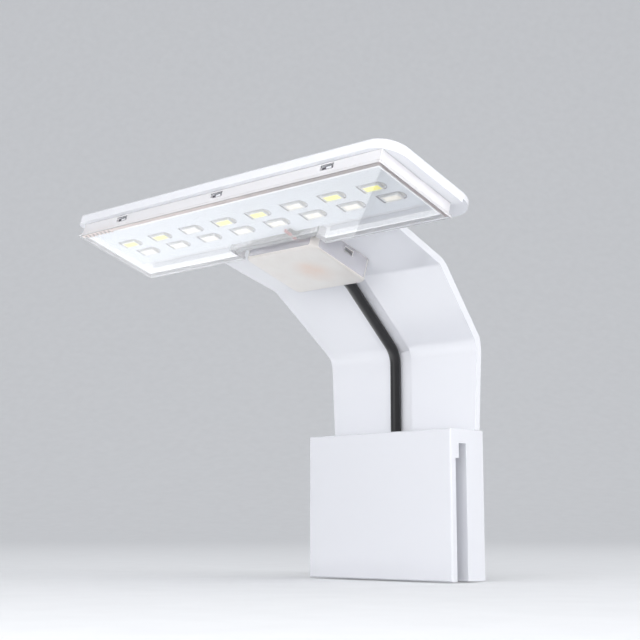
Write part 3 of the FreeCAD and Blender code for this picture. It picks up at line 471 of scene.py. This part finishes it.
# ---------------------------------------------------------------- free cord
def cord_points():
    """The free cord's route in mm: down behind the clamp, the coil's turns, and up to the plug.

    Each turn has a seat in the bundle, six round one, and crosses to the next at the bottom.
    """
    tail = [(-2.4, 27.15, -1.5), (-2.4, 38, -1.5), (-10, 46, -4), (-22, 46, -7), (-29, 40, -18),
            (-25, 34, -30), (-13, 29.5, -37.5)]
    lead = [(-19.5, 22.8, 13), (-35.5, 28.7, 22), (-49.5, 34.6, 22.5), (-57.5, 37.5, 13.5),
            (-58, 38, 3)]
    centre = Vector(COIL_MIDDLE)
    around = [(math.cos(turn) * TURN_SPACING, math.sin(turn) * TURN_SPACING)
              for turn in (math.radians(a) for a in (90, 150, 210, 270, -30, 30))]
    seats = around[:4] + [(0.0, 0.0)] + around[4:]
    stretch = 1.012
    turns = []
    step = 18
    crossing = 90
    for angle in range(step, 180 + 360 * 6 + 1, step):
        place = (angle - 270) / 360
        seat = max(0, min(5, math.floor(place + 0.5)))
        share = min(1.0, max(0.0, ((place - seat) * 360 + crossing / 2) / crossing))
        share = share * share * (3 - 2 * share)
        out = seats[seat][0] * (1 - share) + seats[seat + 1][0] * share
        side = seats[seat][1] * (1 - share) + seats[seat + 1][1] * share
        radius = (COIL_RADIUS + out) * stretch
        turn = math.radians(angle)
        turns.append(centre + Vector((radius * math.sin(turn), side, -radius * math.cos(turn))))
    return tail + turns + lead


def make_cord():
    """The free cord as one smooth curve."""
    data = bpy.data.curves.new("supply_cord", "CURVE")
    data.dimensions = "3D"
    spline = data.splines.new("NURBS")
    points = cord_points()
    spline.points.add(len(points) - 1)
    for point, place in zip(spline.points, points):
        point.co = [c * MM for c in place] + [1.0]
    spline.order_u = 3
    spline.use_endpoint_u = True
    data.resolution_u = 5
    data.bevel_depth = CORD_DIAMETER / 2 * MM
    data.bevel_resolution = 4
    data.use_fill_caps = True
    item = bpy.data.objects.new("supply_cord", data)
    bpy.context.scene.collection.objects.link(item)
    data.materials.append(black_pvc)
    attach(item, LAMP)
    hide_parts("cord_tail", "cord_coil", "plug_cord")
    return item


cord = make_cord()


# ---------------------------------------------------------------- plug, boot and tie
def make_plug():
    """A moulded two-blade plug with finger grips and a ribbed neck."""
    x, y, top = PLUG_AT
    shoulder = top - PLUG_NECK
    foot = shoulder - PLUG_LONG
    side, front = 11, 7.5
    body = block("plug_moulding", (x - side, y - front, foot), (x + side, y + front, shoulder))
    picked(body, lambda f: f.normal.z > 0.9)
    bpy.ops.mesh.inset(thickness=1.6 * MM)
    bpy.ops.transform.translate(value=(0, 0, 1.4 * MM))
    picked(body, lambda f: abs(f.normal.y) > 0.9 and f.area > 1e-4)
    bpy.ops.mesh.inset(thickness=3.4 * MM, use_individual=True)
    bpy.ops.mesh.inset(thickness=0.5 * MM, depth=-0.7 * MM, use_individual=True)
    nothing()
    modified(body, "BEVEL", width=1.5 * MM, segments=4, limit_method="ANGLE",
             angle_limit=math.radians(50))
    smooth(body, 40)
    ribs = []
    rib_half, rib_out, rib_thick = 6.4, 6.9, 0.6
    for number in range(5):
        low = shoulder - 6.5 - number * 2.9
        for hand in (-1, 1):
            ribs.append(block("rib", (x - rib_half, y + hand * rib_out - rib_thick, low - 1.2),
                              (x + rib_half, y + hand * rib_out + rib_thick, low), 0.35))
    rings = []
    for number in range(4):
        wide = 4.6 - number * 0.32
        high = shoulder + 1.6 + number * 1.75
        item = primitive("neck_ring", "cylinder", vertices=32, radius=wide * MM,
                         depth=1.25 * MM, location=(x * MM, y * MM, high * MM))
        settle(item)
        modified(item, "BEVEL", width=0.35 * MM, segments=2, limit_method="ANGLE")
        smooth(item)
        rings.append(item)
    neck = primitive("neck_core", "cone", vertices=32, radius1=3.9 * MM, radius2=2.5 * MM,
                     depth=PLUG_NECK * MM,
                     location=(x * MM, y * MM, (shoulder + PLUG_NECK / 2) * MM))
    settle(neck)
    smooth(neck)
    nothing()
    for item in [neck] + rings + ribs + [body]:
        item.select_set(True)
    bpy.context.view_layer.objects.active = body
    bpy.ops.object.join()
    dressed(body, plug_black, LAMP, ("plug_body",))

    blade_long = 17.0
    blade_apart = 6.35
    blade = block("plug_pins", (-0.75, -3.15, -blade_long), (0.75, 3.15, 0.0))
    picked(blade, lambda v: v.co.z < -0.9 * blade_long * MM, "VERT")
    bpy.ops.transform.resize(value=(0.55, 0.72, 1.0), center_override=(0, 0, -blade_long * MM))
    nothing()
    modified(blade, "BEVEL", width=0.3 * MM, segments=2, limit_method="ANGLE")
    smooth(blade)
    drill = primitive("drill", "cylinder", vertices=24, radius=1.5 * MM, depth=6 * MM,
                      location=(0, 0, -12.5 * MM), rotation=(0, math.pi / 2, 0))
    settle(drill)
    modified(blade, "BOOLEAN", object=drill, operation="DIFFERENCE", solver="EXACT")
    bpy.data.objects.remove(drill)
    blade = copies(blade, [(x - blade_apart, y, foot), (x + blade_apart, y, foot)])
    dressed(blade, nickel, LAMP, ("plug_blades",))
    return body, blade


def make_boot():
    """The strain relief: a neck through the lid, a flange, and a tapered sleeve with cut rings."""
    x, z = CORD_EXIT_X, CORD_EXIT_Z
    profile = [(2.02, 5.0), (3.9, 5.0), (4.0, 5.4), (4.0, 10.3), (3.2, 10.4), (3.2, 12.85),
               (4.3, 12.9), (4.5, 13.1), (4.5, 14.1), (4.3, 14.35), (3.3, 14.4)]
    start, tip = 14.4, 27.1
    rings = 5
    cut = 0.6
    pitch = (tip - start) / rings
    for number in range(rings):
        wide = 3.2 - 0.6 * number / rings
        low = start + number * pitch
        profile += [(wide, low + 0.15 * pitch), (wide - 0.05, low + 0.7 * pitch),
                    (wide - cut, low + 0.76 * pitch), (wide - cut, low + 0.98 * pitch)]
    profile += [(2.45, tip), (2.02, tip)]
    item = primitive("strain_relief", "circle", vertices=3, radius=MM, fill_type="NOTHING")
    only(item)
    bpy.ops.object.mode_set(mode="EDIT")
    bpy.ops.mesh.select_all(action="SELECT")
    bpy.ops.mesh.delete(type="VERT")
    bpy.ops.object.mode_set(mode="OBJECT")
    mesh = item.data
    mesh.vertices.add(len(profile))
    for vertex, (out, along) in zip(mesh.vertices, profile):
        vertex.co = Vector((x + out, along, z)) * MM
    mesh.edges.add(len(profile) - 1)
    for number, edge in enumerate(mesh.edges):
        edge.vertices = (number, number + 1)
    mesh.update()
    only(item)
    bpy.ops.object.mode_set(mode="EDIT")
    bpy.ops.mesh.select_all(action="SELECT")
    bpy.ops.mesh.spin(steps=40, angle=2 * math.pi, center=(x * MM, 0, z * MM), axis=(0, 1, 0))
    bpy.ops.mesh.select_all(action="SELECT")
    bpy.ops.mesh.remove_doubles(threshold=0.001 * MM)
    bpy.ops.mesh.normals_make_consistent(inside=False)
    bpy.ops.object.mode_set(mode="OBJECT")
    smooth(item, 30)
    return dressed(item, boot_rubber, LAMP, ("cord_boot",))


plug, pins = make_plug()
make_boot()


def painted_wall_end_shade():
    """Painted shade on the acrylic walls' ends, seen end on: pinkish left, brown-grey right, broken
    by noise flecks.
    """
    made, tree = blank("acrylic_wall_end_painted_shade")
    place = node(tree, "ShaderNodeTexCoord").outputs["Object"]
    parts = node(tree, "ShaderNodeSeparateXYZ", None, Vector=place)
    along = node(tree, "ShaderNodeMapRange", None, Value=parts.outputs["X"], From_Min=-0.07,
                 From_Max=0.07)
    flecks = node(tree, "ShaderNodeTexNoise", None, Vector=place, Scale=METRE / 5.0, Detail=3.0)
    broken = node(tree, "ShaderNodeMath", {"operation": "MULTIPLY_ADD"}, _0=flecks.outputs["Fac"],
                  _1=0.5, _2=along.outputs["Result"])
    shade = ramp(tree, broken.outputs["Value"], [(0.25, "#ead9d3"), (0.75, "#c3b1ad"),
                                                 (1.0, "#9d8f8e")])
    bump = node(tree, "ShaderNodeBump", None, Height=flecks.outputs["Fac"], Strength=1.0,
                Distance=0.02 * MM)
    shader = node(tree, "ShaderNodeBsdfPrincipled", None, Base_Color=shade, Roughness=0.3,
                  Normal=bump.outputs["Normal"])
    close(tree, shader.outputs["BSDF"])
    return made


wall_end_painted_shade = painted_wall_end_shade()


def second_finish(item, finish, test):
    """Gives a finish to faces for which test(middle, normal) is true, in the head frame."""
    back = HEAD.inverted()
    turn = back.to_3x3()
    item.data.materials.append(finish)
    number = len(item.data.materials) - 1
    for face in item.data.polygons:
        if test(back @ face.center / MM, turn @ face.normal):
            face.material_index = number


# ---------------------------------------------------------------- mouldings
dressed(softened("arm_shell", "arm_moulding", 0.35), white_abs, LAMP, ("arm_shell",))
dressed(softened("clamp_body", "clamp_moulding", 0.35), clamp_abs, CLAMP, ("clamp_body",))
dressed(softened("clamp_lid", "clamp_back_plate", 0.3), clamp_abs, CLAMP, ("clamp_lid",))
shade = dressed(softened("clear_shade", "acrylic_shade", 0.22, 2), acrylic, LAMP,
                ("clear_shade",))
cover = dressed(softened("driver_cover", "driver_box", 0.25, 2), cover_clear, LAMP,
                ("driver_cover",))
# The cover's bottom is milky, and its rounded edges take the milky finish too, as painted
# highlights along the box's edges.
second_finish(cover, cover_milky, lambda place, normal: place.z < -6.9 and abs(normal.z) > 0.8
              or max(abs(part) for part in normal) < 0.97)
# The upright walls take the hazier finish, whose white is partly painted light.
second_finish(shade, acrylic_wall, lambda place, normal: abs(normal.z) < 0.3
              and (abs(place.y) > 15 or abs(place.x) > 69))
# The teeth's faces at the left end of the front wall take the same painted shade.
second_finish(shade, wall_end_painted_shade, lambda place, normal: place.x < -55 and -15.7 < place.y < -15.1
              and -5.15 < place.z < -3.3)


def in_head_group(name, boxes, finish):
    """Several small rounded blocks in head mm as one piece."""
    items = [block(name, low, high, round_by, 2) for low, high, round_by in boxes]
    nothing()
    for item in items:
        item.select_set(True)
    bpy.context.view_layer.objects.active = items[0]
    bpy.ops.object.join()
    items[0].name = name
    settle(items[0], HEAD)
    return dressed(items[0], finish, LAMP, ())


# White reflector strips that stand inside the shade's walls, and stop at the driver's bay; they
# glow with painted light.
in_head_group("reflector_strips", [
    ((x_low, y_low, STRIP_Z[0]), (x_high, y_high, STRIP_Z[1]), 0.1)
    for x_low, x_high, y_low, y_high in (
        (-53.5, 69.4, -15.55, -14.75), (-70.2, -69.7, -15.0, 15.5), (69.7, 70.2, -15.5, 15.5),
        (-69.6, -21.6, 14.8, 15.55), (21.6, 69.6, 14.8, 15.55))], reflector_film_glow)
# Painted shadow: bands at the ends of the acrylic walls, brown-grey to stand in for the walls'
# shadow that shows from below.
in_head_group("wall_ends", [
    ((-71.9, -WALL_OUT_Y, BAND_Z[0]), (WALL_OUT_X, -WALL_IN_Y, BAND_Z[1]), 0.0),
    ((WALL_IN_X, -WALL_IN_Y, BAND_Z[0]), (WALL_OUT_X, WALL_OUT_Y, BAND_Z[1]), 0.0)], wall_end_painted_shade)
# Painted shade: a row of brown marks at the left end of the front wall, where the moulded teeth
# show dark through the acrylic.
tooth_painted_shade = moulded("acrylic_tooth_painted_shade", "#7f706c", "#96867f", 0.4, 0.06, 0.4, 0.01, 1.5)
in_head_group("tooth_ends", [
    ((x, -16.9, -5.66), (x + TOOTH_WIDE, -WALL_IN_Y, -5.6), 0.0)
    for x in (-70.6 + TOOTH_PITCH * number for number in range(7))], tooth_painted_shade)
# Painted shade: dark plates in the three catch windows stand in for the shadow in their pockets,
# and the catch's lit nose sits in each.
in_head_group("catch_pockets", [
    ((x - 2.6, -16.42, -3.66), (x + 2.6, -16.36, -2.34), 0.0) for x in CATCH_X], pocket_painted_shade)
in_head_group("catch_noses", [
    ((x - 0.7, -16.8, -3.3), (x + 1.5, -16.42, -2.6), 0.15) for x in CATCH_X], white_abs)


# ---------------------------------------------------------------- light engine detail
def led_places():
    """Middles of the LEDs in head mm, with their row and step."""
    middle = (LED_STEPS - 1) / 2
    return [(row * LED_STAGGER + (step - middle) * LED_PITCH, row * LED_ROW, row, step)
            for row in (-1, 1) for step in range(LED_STEPS)]


def make_window_rims():
    """The cut edge round each window, a grey ring that is partly painted shade: square at one end
    and round at the other.
    """
    ring = primitive("window_rims", "plane", size=1.0)
    ring.scale = (WINDOW_SIZE[0] * MM, WINDOW_SIZE[1] * MM, 1.0)
    settle(ring)
    picked(ring, lambda v: v.co.x > 0, "VERT")
    bpy.ops.mesh.bevel(offset=WINDOW_ROUND * MM, offset_type="OFFSET", segments=8,
                       affect="VERTICES")
    bpy.ops.mesh.select_all(action="SELECT")
    bpy.ops.mesh.inset(thickness=0.22 * MM)
    bpy.ops.mesh.delete(type="FACE")
    nothing()
    modified(ring, "SOLIDIFY", thickness=0.3 * MM, offset=0.0)
    low = BOARD_FACE - 0.22
    ring = copies(ring, [(px, py, low) for px, py, _, _ in led_places()])
    settle(ring, HEAD)
    return dressed(ring, rim_line, LAMP)


def make_led_frames():
    """White LED packages: a shallow tray with a sloping mouth."""
    half_long, half_wide = TRAY_HALF
    tray = block("led_trays", (-half_long, -half_wide, BOARD_FACE - TRAY_DEEP),
                 (half_long, half_wide, BOARD_FACE))
    picked(tray, lambda f: f.normal.z < -0.9)
    bpy.ops.mesh.inset(thickness=0.28 * MM)
    bpy.ops.mesh.extrude_region_move(TRANSFORM_OT_translate={"value": (0, 0, 0.3 * MM)})
    bpy.ops.transform.resize(value=(0.97, 0.93, 1.0))
    nothing()
    modified(tray, "BEVEL", width=0.1 * MM, segments=2, limit_method="ANGLE")
    smooth(tray)
    tray = copies(tray, [(px, py, 0) for px, py, _, _ in led_places()])
    settle(tray, HEAD)
    return dressed(tray, led_white, LAMP, ("led_frames",))


def make_gels(name, node_name, finish, wanted):
    """Phosphor gels, each with a slightly domed face."""
    gel = primitive(name, "grid", x_subdivisions=12, y_subdivisions=8, size=1.0)
    long, wide = GEL_SIZE
    gel.scale = (long * MM, wide * MM, 1.0)
    settle(gel)
    for vertex in gel.data.vertices:
        along = vertex.co.x / (long / 2 * MM)
        across = vertex.co.y / (wide / 2 * MM)
        vertex.co.z = -GEL_DOME * MM * (1 - along ** 4) * (1 - across ** 4)
    only(gel)
    bpy.ops.object.mode_set(mode="EDIT")
    bpy.ops.mesh.select_all(action="SELECT")
    bpy.ops.mesh.flip_normals()
    bpy.ops.object.mode_set(mode="OBJECT")
    bpy.ops.object.shade_smooth()
    places = [(px, py, BOARD_FACE - GEL_DROP) for px, py, row, step in led_places()
              if wanted(row, step)]
    gel = copies(gel, places)
    settle(gel, HEAD)
    return dressed(gel, finish, LAMP, (node_name,))


def make_solder_pads():
    """Tinned pads that show beyond each LED in its window."""
    pad = block("solder_pads", (-0.55, -1.2, BOARD_FACE - 0.12), (0.55, 1.2, BOARD_FACE + 0.02),
                0.1, 2)
    pad = copies(pad, [(px + end, py, 0) for px, py, _, _ in led_places()
                       for end in (-PAD_REACH, PAD_REACH)])
    settle(pad, HEAD)
    return dressed(pad, solder, LAMP)


def yellow(row, step):
    """True for the LEDs with a yellow phosphor: the front row but its third and sixth."""
    return row < 0 and step not in (2, 5)


make_window_rims()
make_led_frames()
make_gels("phosphor_gels_yellow", "yellow_phosphors", yellow_gel, yellow)
make_gels("phosphor_gels_pale", "white_phosphors", pale_gel,
          lambda row, step: not yellow(row, step))
make_solder_pads()


# ---------------------------------------------------------------- floor, light and camera
def make_stage():
    """A plain pale floor that curves up into a backdrop, a little brighter than its paper is."""
    back = 2.0
    floor = primitive("studio_floor", "plane", size=1.0, location=(0, 0, 0))
    floor.scale = (9.0, 6.0, 1.0)
    settle(floor)
    picked(floor, lambda e: all(floor.data.vertices[v].co.y > back for v in e.vertices), "EDGE")
    bpy.ops.mesh.extrude_region_move(TRANSFORM_OT_translate={"value": (0, 0, 5.0)})
    nothing()
    picked(floor, lambda e: all(floor.data.vertices[v].co.y > back
                                and floor.data.vertices[v].co.z < 1 for v in e.vertices), "EDGE")
    bpy.ops.mesh.bevel(offset=1.8, segments=16)
    nothing()
    turn = Matrix.Translation((0, 0, FLOOR_Z)) @ Matrix.Rotation(FLOOR_TURN, 4, "Z")
    floor.data.transform(turn)
    smooth(floor, 60)
    made, tree = blank("studio_paper")
    place = node(tree, "ShaderNodeTexCoord").outputs["Object"]
    fibre = node(tree, "ShaderNodeTexNoise", None, Vector=place, Scale=60.0, Detail=4.0)
    shade = ramp(tree, fibre.outputs["Fac"], [(0.3, "#d9dadc"), (0.7, "#dddee0")])
    rays = node(tree, "ShaderNodeLightPath")
    seen = node(tree, "ShaderNodeMath", {"operation": "MAXIMUM"},
                _0=rays.outputs["Is Camera Ray"], _1=rays.outputs["Is Glossy Ray"])
    shown = node(tree, "ShaderNodeMath", {"operation": "MAXIMUM"}, _0=seen.outputs["Value"],
                 _1=rays.outputs["Is Transmission Ray"])
    lift = node(tree, "ShaderNodeMath", {"operation": "MULTIPLY"}, _0=shown.outputs["Value"],
                _1=0.22)
    shader = node(tree, "ShaderNodeBsdfPrincipled", None, Base_Color=shade, Roughness=0.9,
                  Emission_Color=linear("#eef0f3"), Emission_Strength=lift.outputs["Value"])
    close(tree, shader.outputs["BSDF"])
    floor.data.materials.append(made)
    return floor


def soft_box(name, place, wide, deep, power, aim=None, turn=None):
    """A rectangular lamp in metres and watts that faces a point, or is turned by Euler angles."""
    data = bpy.data.lights.new(name, "AREA")
    data.shape = "RECTANGLE"
    data.size = wide
    data.size_y = deep
    data.energy = power
    lamp = bpy.data.objects.new(name, data)
    lamp.location = place
    if aim is None:
        lamp.rotation_euler = turn
    else:
        lamp.rotation_euler = (aim - lamp.location).to_track_quat("-Z", "Y").to_euler()
    bpy.context.scene.collection.objects.link(lamp)
    return lamp


def make_lights(eye, aim):
    """Soft boxes left, right and above, one below for reflections, and bounce off the floor."""
    toward = (eye - aim).normalized()
    left = toward.cross(Vector((0, 0, 1))).normalized()
    up = Vector((0, 0, 1))
    soft_box("key_box", aim + toward * 0.75 + left * 0.75 + up * 0.3, 0.7, 0.7, 1.9, aim)
    soft_box("right_box", aim + toward * 0.35 - left * 0.9 + up * 0.25, 0.7, 0.7, 4.2, aim)
    soft_box("top_box", aim + toward * 0.1 + up * 1.0, 0.9, 0.9, 1.6, aim)
    # Only reflections see the low box, and its far edge ends the glare under the shade aslant.
    low = soft_box("low_box", (-0.2537, -0.090, -0.044), 0.5, 0.4, 0.72,
                   turn=(math.pi, 0, math.radians(139.7)))
    low.visible_camera = False
    low.visible_diffuse = False
    bounce = soft_box("floor_bounce", (0.20, -0.34, -0.03), 0.45, 0.45, 1.75,
                      Vector((0, -0.07, 0.07)))
    bounce.visible_camera = False
    bounce.visible_glossy = False
    bounce.visible_transmission = False
    world = bpy.data.worlds.new("studio_world")
    world.use_nodes = True
    world.node_tree.nodes.clear()
    glow = node(world.node_tree, "ShaderNodeBackground", None, Color=linear("#f2f4f8"),
                Strength=0.56)
    out = world.node_tree.nodes.new("ShaderNodeOutputWorld")
    world.node_tree.links.new(glow.outputs["Background"], out.inputs["Surface"])
    bpy.context.scene.world = world


def make_camera(eye, aim):
    """A long lens, low down and to the right of the light."""
    data = bpy.data.cameras.new("studio_camera")
    data.lens = 73.1
    data.sensor_width = 36.0
    data.clip_start = 0.01
    data.clip_end = 50.0
    camera = bpy.data.objects.new("studio_camera", data)
    camera.location = eye
    camera.rotation_euler = (aim - eye).to_track_quat("-Z", "Y").to_euler()
    bpy.context.scene.collection.objects.link(camera)
    bpy.context.scene.camera = camera


make_stage()
make_lights(EYE, AIM)
make_camera(EYE, AIM)
bpy.context.scene.view_settings.view_transform = "Standard"
nothing()
